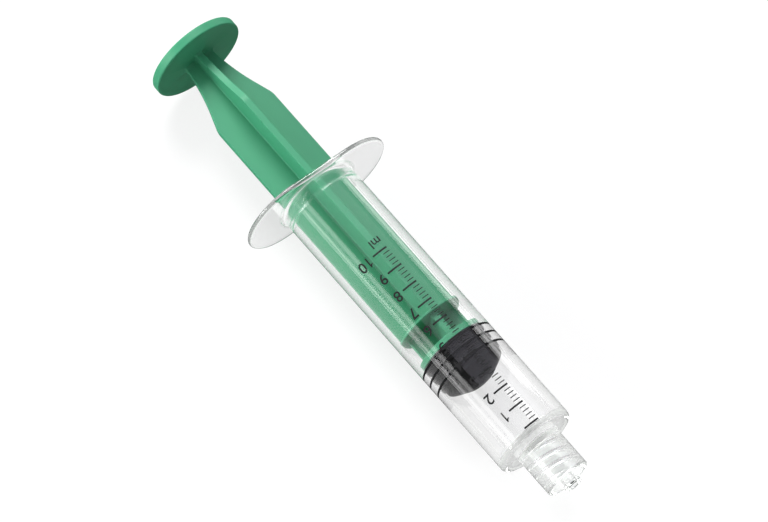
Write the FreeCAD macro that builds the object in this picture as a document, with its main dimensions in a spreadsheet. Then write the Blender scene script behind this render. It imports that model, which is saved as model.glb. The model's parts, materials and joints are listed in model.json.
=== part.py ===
"""Ten-millilitre luer lock syringe: clear barrel, cross-ribbed plunger and rubber stopper.

Each piece is modelled along +X in its own frame, station 0 at its rear end. The three are then set along
one axis at the drawn reading and laid on their side: the flange stands on its lower flat, the tip hangs
down until the front of the barrel touches the surface, and the origin lies under the middle of the box.
"""
import FreeCAD, Part
import math
import os
import re

import Sketcher

# Driving dimensions in millimetres, counts aside.
SIZES = {
    # Barrel
    "bore_radius": 7.95,
    "barrel_wall": 1.35,
    "barrel_length": 74.13,
    "shoulder_radius": 1.1,
    "mouth_widening": 0.65,
    "mouth_length": 3.1,
    "bead_station": 2.2,
    "bead_height": 0.19,
    "bead_width": 1.3,
    "end_wall": 1.75,
    "end_gap": 0.1,
    "passage_radius": 1.05,
    # Finger flange
    "flange_half_length": 18.67,
    "flange_half_height": 11.38,
    "flange_thickness": 1.2,
    "flange_bevel": 0.3,
    "flange_root_radius": 0.9,
    # Luer lock tip
    "collar_radius": 5.26,
    "collar_wall": 1.26,
    "collar_length": 10.12,
    "collar_bevel": 0.25,
    "collar_floor": 1.3,
    "nozzle_tip_radius": 1.99,
    "nozzle_reach": 1.9,
    "nozzle_bevel": 0.15,
    "nozzle_taper": 0.03,
    # Scale
    "scale_pitch": 5.036,
    "reading": 3.68,
    # Stopper
    "stopper_length": 7.05,
    "stopper_land_radius": 7.4,
    "stopper_bevel": 0.3,
    "nose_height": 2.7,
    "nose_step_height": 2.0,
    "nose_step_radius": 3.6,
    "seal_gap": 0.04,
    "seal_crest": 0.44,
    "seal_foot": 0.95,
    "first_seal": 0.52,
    "second_seal": 2.85,
    "third_seal": 5.4,
    # Plunger
    "thumb_radius": 11.25,
    "thumb_thickness": 2.2,
    "thumb_bevel": 0.35,
    "rod_length": 88.34,
    "rib_thickness": 1.55,
    "rib_half_width": 7.6,
    "root_half_width": 3.6,
    "neck_half_width": 4.47,
    "neck_length": 7.2,
    "neck_bend_radius": 50.0,
    "flare_length": 9.3,
    "flare_bend_radius": 6.0,
    "foot_radius": 0.8,
    "bridge_half_width": 6.5,
    "guide_gap": 0.08,
    "guide_thickness": 0.6,
    "guide_spacing": 6.08,
    "seat_thickness": 1.35,
    # Snap head of the plunger in the stopper
    "seat_gap": 0.08,
    "head_gap": 0.1,
    "stem_radius": 2.5,
    "stem_length": 1.6,
    "head_radius": 4.3,
    "head_front_radius": 3.0,
    "head_length": 2.6,
}
RIB_COUNT = 4
# Turn of the plunger in the barrel as it lies, in degrees.
RIB_TURN = 4.65

# Sizes that follow from the driving ones. Stations are measured from each piece's own rear end.
OUTER_RADIUS = "bore_radius + barrel_wall"
HUB_RADIUS = "bore_radius + barrel_wall + 1.1 * flange_root_radius"
SHOULDER = "flange_thickness + barrel_length"
COLLAR_END = SHOULDER + " + collar_length"
TIP = COLLAR_END + " + nozzle_reach"
COLLAR_FLOOR = SHOULDER + " + collar_floor"
THREAD_ROOT = "collar_radius - collar_wall"
BORE_END = SHOULDER + " - end_wall"
ZERO_MARK = "barrel_length - end_wall - end_gap"
DOME_SLOPE = "(nose_height - nose_step_height) / nose_step_radius"
PASSAGE_START = BORE_END + " + nose_height - passage_radius * " + DOME_SLOPE
BEAD_RADIUS = "bore_radius - bead_height"
SEAL_RADIUS = "bore_radius - seal_gap"
GUIDE_RADIUS = "bore_radius - guide_gap"
SEAT_FACE = "thumb_thickness + rod_length"
SEAT_REAR = SEAT_FACE + " - seat_thickness"
GUIDE_FRONT = SEAT_REAR + " - guide_spacing"
GUIDE_REAR = GUIDE_FRONT + " - guide_thickness"
FLARE_START = "thumb_thickness + neck_length"
HEAD_REAR = SEAT_FACE + " + stem_length"
LIP = "stem_length - seat_gap - head_gap"
STOPPER_REAR = ZERO_MARK + " - reading * scale_pitch - stopper_length"

doc = FreeCAD.newDocument("luer_lock_syringe")
sheet = doc.addObject("Spreadsheet::Sheet", "Sizes")


def fill_sheet():
    """Write every driving dimension into the spreadsheet as plain text with its alias."""
    for row, (alias, value) in enumerate(SIZES.items(), start=1):
        sheet.set("A%d" % row, alias)
        sheet.set("B%d" % row, str(value))
        sheet.setAlias("B%d" % row, alias)
    doc.recompute()


def bound(text):
    """Turn words of the spreadsheet in an expression into references to its cells."""
    return re.sub(r"[a-z]\w*", lambda word: "Sizes." + word.group(), text)


def size(text):
    """Return the present value of an expression on the spreadsheet's words."""
    return float(sheet.evalExpression(text))


def plane(body, role):
    """Return one of the body's own origin planes or axes."""
    return next(item for item in body.Origin.OriginFeatures if item.Role == role)


def new_body(label):
    """Return an empty body with its label."""
    body = doc.addObject("PartDesign::Body", label)
    body.Label = label
    return body


def drive(sketch, kind, target, text):
    """Add one dimension to a sketch and bind it to the spreadsheet."""
    index = sketch.addConstraint(Sketcher.Constraint(kind, *target, size(text)))
    sketch.setExpression("Constraints[%d]" % index, bound(text))


def rounded_outline(points, radii):
    """Return the straight runs and arcs of a closed outline whose corners are rounded."""
    count = len(points)
    starts, ends, arcs = [], [], []
    for index in range(count):
        here = points[index]
        back = (points[index - 1] - here).normalize()
        onward = (points[(index + 1) % count] - here).normalize()
        if radii[index] is None:
            ends.append(here)
            starts.append(here)
            arcs.append(None)
            continue
        half_angle = back.getAngle(onward) / 2
        reach = radii[index] / math.tan(half_angle)
        centre = here + (back + onward).normalize() * (radii[index] / math.sin(half_angle))
        ends.append(here + back * reach)
        starts.append(here + onward * reach)
        arcs.append(centre)
    return starts, ends, arcs


def outline(body, name, role, corners):
    """Sketch a closed outline on an origin plane.

    Each corner is (across, up) or (across, up, rounding), all expressions on the spreadsheet's words.
    """
    sketch = body.newObject("Sketcher::SketchObject", name)
    sketch.AttachmentSupport = [(plane(body, role), "")]
    sketch.MapMode = "FlatFace"
    points = [FreeCAD.Vector(size(corner[0]), size(corner[1]), 0) for corner in corners]
    radii = [size(corner[2]) if len(corner) > 2 else None for corner in corners]
    starts, ends, centres = rounded_outline(points, radii)
    count = len(corners)
    lines = []
    for index in range(count):
        line = Part.LineSegment(starts[index], ends[(index + 1) % count])
        lines.append(sketch.addGeometry(line, False))
    for index, corner in enumerate(corners):
        before, after = lines[index - 1], lines[index]
        if centres[index] is None:
            sketch.addConstraint(Sketcher.Constraint("Coincident", before, 2, after, 1))
            fixed = (after, 1)
        else:
            fixed = round_corner(sketch, points[index], centres[index], ends[index], starts[index], before, after)
            drive(sketch, "Radius", (fixed[0] + 1,), corner[2])
        drive(sketch, "DistanceX", (-1, 1) + fixed, corner[0])
        drive(sketch, "DistanceY", (-1, 1) + fixed, corner[1])
    return sketch


def round_corner(sketch, corner, centre, start, end, before, after):
    """Add the true corner as a point and the arc that rounds it; return the point's handle."""
    point = sketch.addGeometry(Part.Point(corner), True)
    sketch.addConstraint(Sketcher.Constraint("PointOnObject", point, 1, before))
    sketch.addConstraint(Sketcher.Constraint("PointOnObject", point, 1, after))
    middle = centre + (corner - centre).normalize() * (start - centre).Length
    arc = sketch.addGeometry(Part.Arc(start, middle, end), False)
    forward = sketch.getPoint(arc, 1).distanceToPoint(start) < sketch.getPoint(arc, 1).distanceToPoint(end)
    first, last = (1, 2) if forward else (2, 1)
    sketch.addConstraint(Sketcher.Constraint("Tangent", before, 2, arc, first))
    sketch.addConstraint(Sketcher.Constraint("Tangent", arc, last, after, 1))
    return (point, 1)


def turn(body, kind, name, corners):
    """Revolve an outline about the piece's axis: kind is Revolution to add, Groove to cut."""
    sketch = outline(body, name + "_outline", "XY_Plane", corners)
    doc.recompute()
    before = body.Shape.Volume if body.Shape.Solids else 0.0
    feature = body.newObject("PartDesign::" + kind, name)
    feature.Profile = sketch
    feature.ReferenceAxis = (sketch, ["H_Axis"])
    feature.Angle = 360
    doc.recompute()
    change = body.Shape.Volume - before
    if change * (1 if kind == "Revolution" else -1) <= 0:
        raise RuntimeError(name + " changed nothing")
    return feature


def flange(body):
    """Add the finger flange: a plate with two flats and full round ends, its rims bevelled."""
    sketch = body.newObject("Sketcher::SketchObject", "flange_outline")
    sketch.AttachmentSupport = [(plane(body, "YZ_Plane"), "")]
    sketch.MapMode = "FlatFace"
    half_height, half_length = size("flange_half_height"), size("flange_half_length")
    flat = half_length - half_height
    quarters = ((1, 1), (-1, 1), (-1, -1), (1, -1))
    corners = [FreeCAD.Vector(flat * across, half_height * up, 0) for across, up in quarters]
    top = sketch.addGeometry(Part.LineSegment(corners[0], corners[1]), False)
    left = sketch.addGeometry(Part.Arc(corners[1], FreeCAD.Vector(-half_length, 0, 0), corners[2]), False)
    bottom = sketch.addGeometry(Part.LineSegment(corners[2], corners[3]), False)
    right = sketch.addGeometry(Part.Arc(corners[3], FreeCAD.Vector(half_length, 0, 0), corners[0]), False)
    for before, after in ((top, left), (left, bottom), (bottom, right), (right, top)):
        sketch.addConstraint(nearest_join(sketch, before, after))
    for arc in (left, right):
        sketch.addConstraint(Sketcher.Constraint("PointOnObject", arc, 3, -1))
        drive(sketch, "Radius", (arc,), "flange_half_height")
    drive(sketch, "DistanceX", (-1, 1, right, 3), "flange_half_length - flange_half_height")
    drive(sketch, "DistanceX", (left, 3, -1, 1), "flange_half_length - flange_half_height")
    pad = body.newObject("PartDesign::Pad", "flange_pad")
    pad.Profile = sketch
    pad.setExpression("Length", bound("flange_thickness"))
    doc.recompute()
    bevel_rims(body)


def nearest_join(sketch, before, after):
    """Return the constraint that joins the two nearest ends of two edges smoothly."""
    ends = [(one, other) for one in (1, 2) for other in (1, 2)]
    gap = lambda pair: (sketch.getPoint(before, pair[0]) - sketch.getPoint(after, pair[1])).Length
    one, other = min(ends, key=gap)
    return Sketcher.Constraint("Tangent", before, one, after, other)


def bevel_rims(body):
    """Bevel the edges round the flange's two faces."""
    plate = body.Tip
    rims = []
    for number, edge in enumerate(plate.Shape.Edges, start=1):
        if edge.BoundBox.XLength < size("flange_thickness") / 2:
            rims.append("Edge%d" % number)
    feature = body.newObject("PartDesign::Chamfer", "flange_rims")
    feature.Base = (plate, rims)
    feature.setExpression("Size", bound("flange_bevel"))
    doc.recompute()


def barrel():
    """Clear barrel with flange, retaining bead, end wall, lock collar and tapered nozzle."""
    body = new_body("barrel")
    flange(body)
    nozzle_at_collar_end = "nozzle_tip_radius + nozzle_taper * nozzle_reach"
    turn(body, "Revolution", "tube_and_tip", [
        ("0", "0"),
        ("0", HUB_RADIUS),
        ("flange_thickness", HUB_RADIUS),
        ("flange_thickness", OUTER_RADIUS, "flange_root_radius"),
        (SHOULDER, OUTER_RADIUS, "shoulder_radius"),
        (SHOULDER, "collar_radius + collar_bevel"),
        (SHOULDER + " + collar_bevel", "collar_radius"),
        (COLLAR_END + " - collar_bevel", "collar_radius"),
        (COLLAR_END, "collar_radius - collar_bevel"),
        (COLLAR_END, nozzle_at_collar_end),
        (TIP + " - nozzle_bevel", "nozzle_tip_radius + nozzle_taper * nozzle_bevel"),
        (TIP, "nozzle_tip_radius - nozzle_bevel"),
        (TIP, "0"),
    ])
    bead = "bead_station + flange_thickness"
    turn(body, "Groove", "bore", [
        ("0", "0"),
        ("0", "bore_radius + mouth_widening"),
        ("mouth_length", "bore_radius"),
        (bead + " - bead_width / 2", "bore_radius"),
        (bead + " - bead_width / 5", BEAD_RADIUS),
        (bead + " + bead_width / 5", BEAD_RADIUS),
        (bead + " + bead_width / 2", "bore_radius"),
        (BORE_END, "bore_radius"),
        (BORE_END + " + nose_step_height", "nose_step_radius"),
        (PASSAGE_START, "passage_radius"),
        (TIP, "passage_radius"),
        (TIP, "0"),
    ])
    nozzle_at_floor = "nozzle_tip_radius + nozzle_taper * (nozzle_reach + collar_length - collar_floor)"
    turn(body, "Groove", "lock_pocket", [
        (COLLAR_FLOOR, nozzle_at_floor),
        (COLLAR_FLOOR, THREAD_ROOT),
        (COLLAR_END + " - collar_bevel", THREAD_ROOT),
        (COLLAR_END, THREAD_ROOT + " + collar_bevel"),
        (COLLAR_END, nozzle_at_collar_end),
    ])
    return body


def plunger():
    """Green plunger: thumb disc, four ribs with a curved neck, guide disc, seat disc and snap head."""
    body = new_body("plunger")
    flare_end = FLARE_START + " + flare_length"
    rib = outline(body, "rib_outline", "XY_Plane", [
        ("thumb_thickness / 2", "0"),
        ("thumb_thickness / 2", "root_half_width + foot_radius"),
        ("thumb_thickness", "root_half_width + foot_radius"),
        ("thumb_thickness", "root_half_width", "foot_radius * 0.9"),
        (FLARE_START, "neck_half_width", "neck_bend_radius"),
        (flare_end, "rib_half_width", "flare_bend_radius"),
        (GUIDE_REAR + " + guide_thickness / 2", "rib_half_width"),
        (GUIDE_REAR + " + guide_thickness / 2", "bridge_half_width"),
        (SEAT_REAR + " + seat_thickness / 2", "bridge_half_width"),
        (SEAT_REAR + " + seat_thickness / 2", "0"),
    ])
    doc.recompute()
    pad = body.newObject("PartDesign::Pad", "rib")
    pad.Profile = rib
    pad.Midplane = True
    pad.setExpression("Length", bound("rib_thickness"))
    doc.recompute()
    ribs = body.newObject("PartDesign::PolarPattern", "ribs")
    ribs.Originals = [pad]
    ribs.Axis = (plane(body, "X_Axis"), [""])
    ribs.Angle = 360
    ribs.Occurrences = RIB_COUNT
    body.Tip = ribs
    doc.recompute()
    turn(body, "Revolution", "thumb_disc", [
        ("0", "0"),
        ("0", "thumb_radius - thumb_bevel"),
        ("thumb_bevel", "thumb_radius"),
        ("thumb_thickness - thumb_bevel", "thumb_radius"),
        ("thumb_thickness", "thumb_radius - thumb_bevel"),
        ("thumb_thickness", "0"),
    ])
    turn(body, "Revolution", "guide_disc", [
        (GUIDE_REAR, "0"),
        (GUIDE_REAR, GUIDE_RADIUS),
        (GUIDE_FRONT, GUIDE_RADIUS),
        (GUIDE_FRONT, "0"),
    ])
    turn(body, "Revolution", "seat_and_head", [
        (SEAT_REAR, "0"),
        (SEAT_REAR, GUIDE_RADIUS),
        (SEAT_FACE, GUIDE_RADIUS),
        (SEAT_FACE, "stem_radius"),
        (HEAD_REAR, "stem_radius"),
        (HEAD_REAR, "head_radius"),
        (HEAD_REAR + " + head_length", "head_front_radius"),
        (HEAD_REAR + " + head_length", "0"),
    ])
    return body


def stopper():
    """Rubber stopper: three sealing ribs, cone nose and the undercut socket for the snap head."""
    body = new_body("stopper")
    corners = [("0", "0"), ("0", "stopper_land_radius")]
    for station in ("first_seal", "second_seal", "third_seal"):
        corners += [
            (station + " - seal_foot / 2", "stopper_land_radius"),
            (station + " - seal_crest / 2", SEAL_RADIUS),
            (station + " + seal_crest / 2", SEAL_RADIUS),
            (station + " + seal_foot / 2", "stopper_land_radius"),
        ]
    corners += [
        ("stopper_length - stopper_bevel", "stopper_land_radius"),
        ("stopper_length", "stopper_land_radius - stopper_bevel"),
        ("stopper_length + nose_step_height", "nose_step_radius"),
        ("stopper_length + nose_height", "0"),
    ]
    turn(body, "Revolution", "rubber", corners)
    socket_end = LIP + " + head_length + 2 * head_gap"
    turn(body, "Groove", "socket", [
        ("0", "0"),
        ("0", "stem_radius + head_gap"),
        (LIP, "stem_radius + head_gap"),
        (LIP, "head_radius + head_gap"),
        (socket_end, "head_front_radius + head_gap"),
        (socket_end, "0"),
    ])
    return body


def lie_down(bodies):
    """Set the pieces along one axis, then rest flange and barrel front on the surface."""
    along = {
        "barrel": -size("flange_thickness"),
        "stopper": size(STOPPER_REAR),
        "plunger": size(STOPPER_REAR) - size("seat_gap") - size(SEAT_FACE),
    }
    shoulder = size("shoulder_radius")
    run = size("barrel_length + flange_bevel") - shoulder
    rise = size("flange_half_height") - (size(OUTER_RADIUS) - shoulder)
    tilt = math.atan2(rise, run) - math.asin(shoulder / math.hypot(run, rise))
    turned = FreeCAD.Rotation(FreeCAD.Vector(0, 1, 0), math.degrees(tilt))
    for body in bodies:
        spin = FreeCAD.Rotation(FreeCAD.Vector(1, 0, 0), RIB_TURN if body.Label == "plunger" else 0)
        start = turned.multVec(FreeCAD.Vector(along[body.Label], 0, 0))
        body.Placement = FreeCAD.Placement(start, turned.multiply(spin))
    doc.recompute()
    box = Part.makeCompound([body.Shape for body in bodies]).optimalBoundingBox(False, False)
    shift = FreeCAD.Vector(-box.Center.x, 0, -box.ZMin)
    for body in bodies:
        body.Placement.Base = body.Placement.Base + shift
    doc.recompute()
    print("tilt %.4f deg, shift %s, box %s" % (math.degrees(tilt), shift, box))


def check_document():
    """Stop where a feature failed or a piece is not one valid solid."""
    for item in doc.Objects:
        if "Invalid" in item.State or "Error" in item.State:
            raise RuntimeError("%s failed: %s" % (item.Label, item.State))


def write_pieces(bodies):
    """Write each piece to its own STEP file."""
    os.makedirs("parts", exist_ok=True)
    for body in bodies:
        shape = body.Shape
        if shape.isNull() or not shape.isValid() or len(shape.Solids) != 1:
            raise RuntimeError(body.Label + " is not one valid solid")
        shape.exportStep("parts/%s.step" % body.Label)
        print("%s volume %.1f mm3, faces %d" % (body.Label, shape.Volume, len(shape.Faces)))


fill_sheet()
pieces = [barrel(), plunger(), stopper()]
lie_down(pieces)
check_document()
write_pieces(pieces)
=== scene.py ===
"""Luer lock syringe: clear barrel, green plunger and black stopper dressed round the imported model.

Every piece is drawn in the syringe's own frame, in millimetres: x runs along the axis from the front face
of the finger flange towards the tip, y along the flange's long side and z up. SyringePose turns that frame
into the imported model's, in metres. Stations are places along the axis.
"""
import json
import logging
import math
from dataclasses import dataclass
from enum import Enum
from typing import Callable, Sequence

import bmesh
import bpy
import numpy as np
from mathutils import Matrix, Vector


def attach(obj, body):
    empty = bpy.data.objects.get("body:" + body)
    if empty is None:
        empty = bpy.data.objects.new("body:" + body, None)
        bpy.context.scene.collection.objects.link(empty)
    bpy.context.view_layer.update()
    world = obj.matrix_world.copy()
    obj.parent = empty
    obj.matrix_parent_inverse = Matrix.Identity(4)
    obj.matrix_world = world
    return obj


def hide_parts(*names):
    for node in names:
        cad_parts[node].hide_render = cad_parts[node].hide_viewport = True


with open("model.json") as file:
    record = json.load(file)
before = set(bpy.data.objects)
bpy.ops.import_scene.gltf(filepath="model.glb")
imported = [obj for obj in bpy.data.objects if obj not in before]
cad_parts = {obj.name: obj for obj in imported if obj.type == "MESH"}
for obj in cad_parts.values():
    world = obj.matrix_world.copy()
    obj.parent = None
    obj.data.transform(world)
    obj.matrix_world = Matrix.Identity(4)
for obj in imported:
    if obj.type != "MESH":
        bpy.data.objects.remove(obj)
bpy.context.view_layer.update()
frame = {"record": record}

Pair = tuple[float, float]
Triple = tuple[float, float, float]
Corner = tuple[float, ...]
Tree, Node, Socket = bpy.types.NodeTree, bpy.types.Node, bpy.types.NodeSocket
Material, Mesh, Item = bpy.types.Material, bpy.types.Mesh, bpy.types.Object
Drawing = bmesh.types.BMesh

MM = 0.001
TINY = 1e-6
PHOTO_WIDTH = 768
WHITE: Triple = (1.0, 1.0, 1.0)
# Room between the plunger's seat disc and the stopper, in millimetres.
SEAT_GAP = 0.08
# Watts for each square metre of a lamp whose face has brightness 1.
LAMP_POWER = 2
# Limits on how often a ray was mirrored, between one whole number and the next.
ONCE, TWICE = 0.5, 1.5
# Colour inputs and output of a Mix node, which shares their names with its other kinds.
MIX_FIRST, MIX_SECOND, MIX_RESULT = 6, 7, 2
LOG = logging.getLogger("syringe")


class Slot(Enum):
    """Material slots of the record."""

    CLEAR = "clear_plastic"
    GREEN = "green_plastic"
    RUBBER = "black_rubber"
    INK = "black_ink"


# Socket arithmetic and nodes


def maths(operation: str, swapped: bool = False) -> Callable:
    """Return a method of Wire that adds one Math node.

    Args:
        operation: the Math node's operation.
        swapped: whether the Wire is the second operand.

    Returns:
        The method, which takes the other operand and returns the result as a Wire.
    """
    def method(self: "Wire", other: "Wire | float" = 0.0) -> "Wire":
        """Add the node and return its result."""
        first, second = (other, self) if swapped else (self, other)
        node = add_node(self.tree, "ShaderNodeMath", {"operation": operation}, {0: first, 1: second})
        return Wire(self.tree, node.outputs[0])
    return method


class Wire:
    """A number socket that takes part in Python expressions.

    highest gives the larger of two numbers, above 1 where self is greater than the other and else 0, size the
    number without its sign, and % what is left after whole shares of the other.
    """

    def __init__(self, tree: Tree, socket: Socket) -> None:
        """Keep the tree and the output socket."""
        self.tree = tree
        self.socket = socket

    __add__ = __radd__ = maths("ADD")
    __mul__ = __rmul__ = maths("MULTIPLY")
    __sub__ = maths("SUBTRACT")
    __rsub__ = maths("SUBTRACT", swapped=True)
    __truediv__ = maths("DIVIDE")
    __mod__ = maths("MODULO")
    highest = maths("MAXIMUM")
    above = maths("GREATER_THAN")
    size = maths("ABSOLUTE")
    sine = maths("SINE")
    cosine = maths("COSINE")

    def ramp(self, start: float, end: float) -> "Wire":
        """Return a smooth rise from 0 where self is at start to 1 where it is at end."""
        node = add_node(self.tree, "ShaderNodeMapRange", {"interpolation_type": "SMOOTHSTEP"},
                        {"Value": self, "From Min": start, "From Max": end})
        return Wire(self.tree, node.outputs[0])

    def curve(self, stops: Sequence[Pair]) -> "Wire":
        """Return the value that (place, value) stops give self, between 0 and 1."""
        node = add_node(self.tree, "ShaderNodeValToRGB", None, {0: self})
        elements = node.color_ramp.elements
        while len(elements) < len(stops):
            elements.new(0.5)
        for element, (place, value) in zip(elements, stops):
            element.position = place
            element.color = (value, value, value, 1.0)
        return Wire(self.tree, node.outputs[0])


def feed(tree: Tree, node: Node, sockets: dict) -> None:
    """Give inputs of a node, by name or number, a value, a Wire, an output or a node's first output."""
    for name, value in sockets.items():
        if isinstance(value, Wire):
            value = value.socket
        elif isinstance(value, Node):
            value = value.outputs[0]
        if isinstance(value, Socket):
            tree.links.new(value, node.inputs[name])
        else:
            node.inputs[name].default_value = value


def add_node(tree: Tree, kind: str, settings: dict | None = None, sockets: dict | None = None) -> Node:
    """Add a node, set it up and feed its inputs.

    Args:
        tree: the node tree.
        kind: the node's type.
        settings: attributes of the node.
        sockets: input name or number to a value, a Wire, an output or a node.

    Returns:
        The node.
    """
    node = tree.nodes.new(kind)
    for name, value in (settings or {}).items():
        setattr(node, name, value)
    feed(tree, node, sockets or {})
    return node


def read(tree: Tree, kind: str, names: Sequence[str], sockets: dict | None = None) -> list[Wire]:
    """Add a node and return its outputs of these names."""
    node = add_node(tree, kind, None, sockets)
    return [Wire(tree, node.outputs[name]) for name in names]


def new_tree(owner: Material | bpy.types.World) -> Tree:
    """Give a material or a world an empty node tree and return it."""
    owner.use_nodes = True
    owner.node_tree.nodes.clear()
    return owner.node_tree


def blend(tree: Tree, share: Wire, first: Triple | Socket, second: Triple) -> Socket:
    """Return a colour that goes from the first to the second as the share goes from 0 to 1."""
    start = first if isinstance(first, Socket) else (*first, 1.0)
    node = add_node(tree, "ShaderNodeMix", {"data_type": "RGBA"},
                    {"Factor": share, MIX_FIRST: start, MIX_SECOND: (*second, 1.0)})
    return node.outputs[MIX_RESULT]


def choose(tree: Tree, share: Wire, first: Node, second: Node) -> Node:
    """Return a shader that goes from the first to the second as the share goes from 0 to 1."""
    return add_node(tree, "ShaderNodeMixShader", None, {"Fac": share, 1: first, 2: second})


def relief(tree: Tree, height: Wire, depth: float) -> Socket:
    """Return the normal of a surface whose height goes from 0 to a depth in millimetres."""
    node = add_node(tree, "ShaderNodeBump", None, {"Height": height, "Distance": depth * MM, "Strength": 1.0})
    return node.outputs[0]


# Place


def find_mount(record: dict, name: str) -> dict:
    """Return a mount of the record."""
    return next(item for item in record["mounts"] if item["name"] == name)


@dataclass(frozen=True)
class SyringePose:
    """The syringe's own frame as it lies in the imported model."""

    origin: Vector
    axis: Vector

    @classmethod
    def from_record(cls, record: dict) -> "SyringePose":
        """Read the pose from the mount on the flange's front face."""
        mount = find_mount(record, "flange_front")
        place, axis = Vector(mount["pos_m"]), Vector(mount["axis"]).normalized()
        return cls(Vector((place.x, 0.0, place.z)), axis)

    def matrix(self) -> Matrix:
        """Return the turn and shift from millimetres along the axis to metres in the model."""
        across = Vector((0.0, 1.0, 0.0))
        up = self.axis.cross(across)
        turn = Matrix((self.axis, across, up)).transposed().to_4x4()
        return Matrix.Translation(self.origin) @ turn @ Matrix.Scale(MM, 4)

    def station(self, place: Sequence[float]) -> float:
        """Return how far along the axis a point of the model lies, in millimetres."""
        return (Vector(place) - self.origin).dot(self.axis) / MM


# Finishes


@dataclass(frozen=True)
class Noise:
    """Noise on the piece's own coordinates: cells for each metre, octaves and scale of each axis."""

    scale: float
    detail: float = 2.0
    stretch: Triple = (1.0, 1.0, 1.0)

    def add(self, tree: Tree) -> Wire:
        """Add the noise to a tree and return it, from 0 to 1."""
        place = add_node(tree, "ShaderNodeTexCoord")
        turned = add_node(tree, "ShaderNodeMapping", None,
                          {"Vector": place.outputs["Object"], "Scale": self.stretch})
        cloud = add_node(tree, "ShaderNodeTexNoise", None,
                         {"Vector": turned, "Scale": self.scale, "Detail": self.detail})
        return Wire(tree, cloud.outputs[0])


@dataclass(frozen=True, kw_only=True)
class Finish:
    """A named material with a principled shader, whose looks each kind of finish varies."""

    name: str
    colour: Triple
    roughness: float
    sheen: float = 0.5

    def constants(self) -> dict:
        """Return the shader's inputs that stay the same all over."""
        return {"Specular IOR Level": self.sheen}

    def varying(self, tree: Tree) -> dict:
        """Return the shader's inputs that change from place to place."""
        return {}

    def surface(self, tree: Tree, shader: Node) -> Node:
        """Return what the material shows, from its principled shader."""
        return shader

    def build(self) -> Material:
        """Return the material."""
        material = bpy.data.materials.new(self.name)
        tree = new_tree(material)
        plain = {"Base Color": (*self.colour, 1.0), "Roughness": self.roughness}
        shader = add_node(tree, "ShaderNodeBsdfPrincipled", None, {**plain, **self.constants()})
        feed(tree, shader, self.varying(tree))
        add_node(tree, "ShaderNodeOutputMaterial", None, {"Surface": self.surface(tree, shader)})
        return material


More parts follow.
